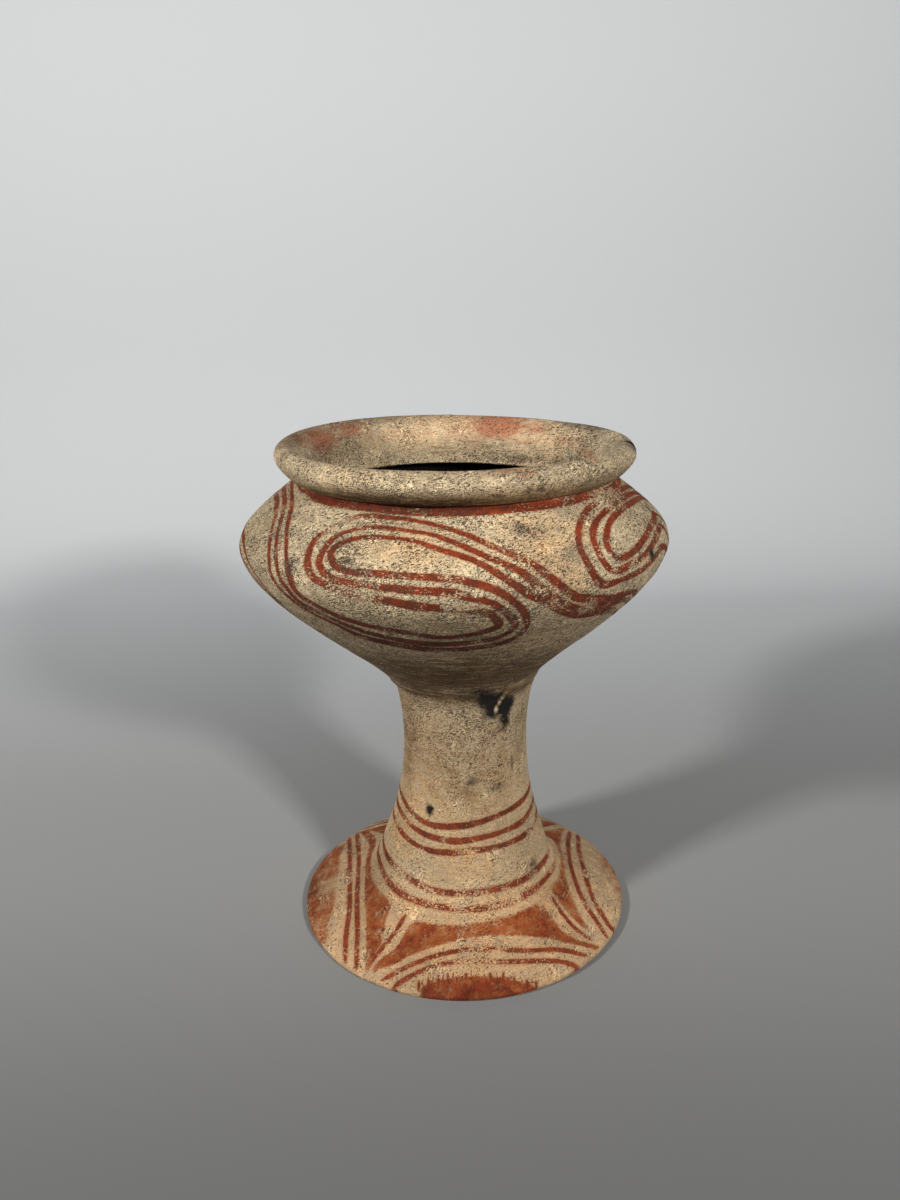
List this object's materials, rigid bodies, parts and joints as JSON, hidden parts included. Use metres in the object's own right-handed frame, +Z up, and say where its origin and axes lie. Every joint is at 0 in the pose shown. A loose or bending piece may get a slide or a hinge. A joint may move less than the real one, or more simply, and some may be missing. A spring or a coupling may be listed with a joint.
{
  "type": "footed terracotta vase",
  "caption": "Wide round bowl with a rolled lip on a tall hollow foot that flares like a trumpet, in pale fired clay with red-brown painted scrolls and bands.",
  "frame": {"origin": "centre of the pot's box on the surface that it stands on", "axes": "+Z up through the mouth; the camera side, with the widest scroll, faces -Y"},
  "size_m": [0.1704, 0.1704, 0.2107],
  "materials": {
    "painted_clay": "matte unglazed cream-buff clay with worn iron-red brush lines"
  },
  "bodies": {
    "root": {"vase": "painted_clay"}
  },
  "joints": []
}
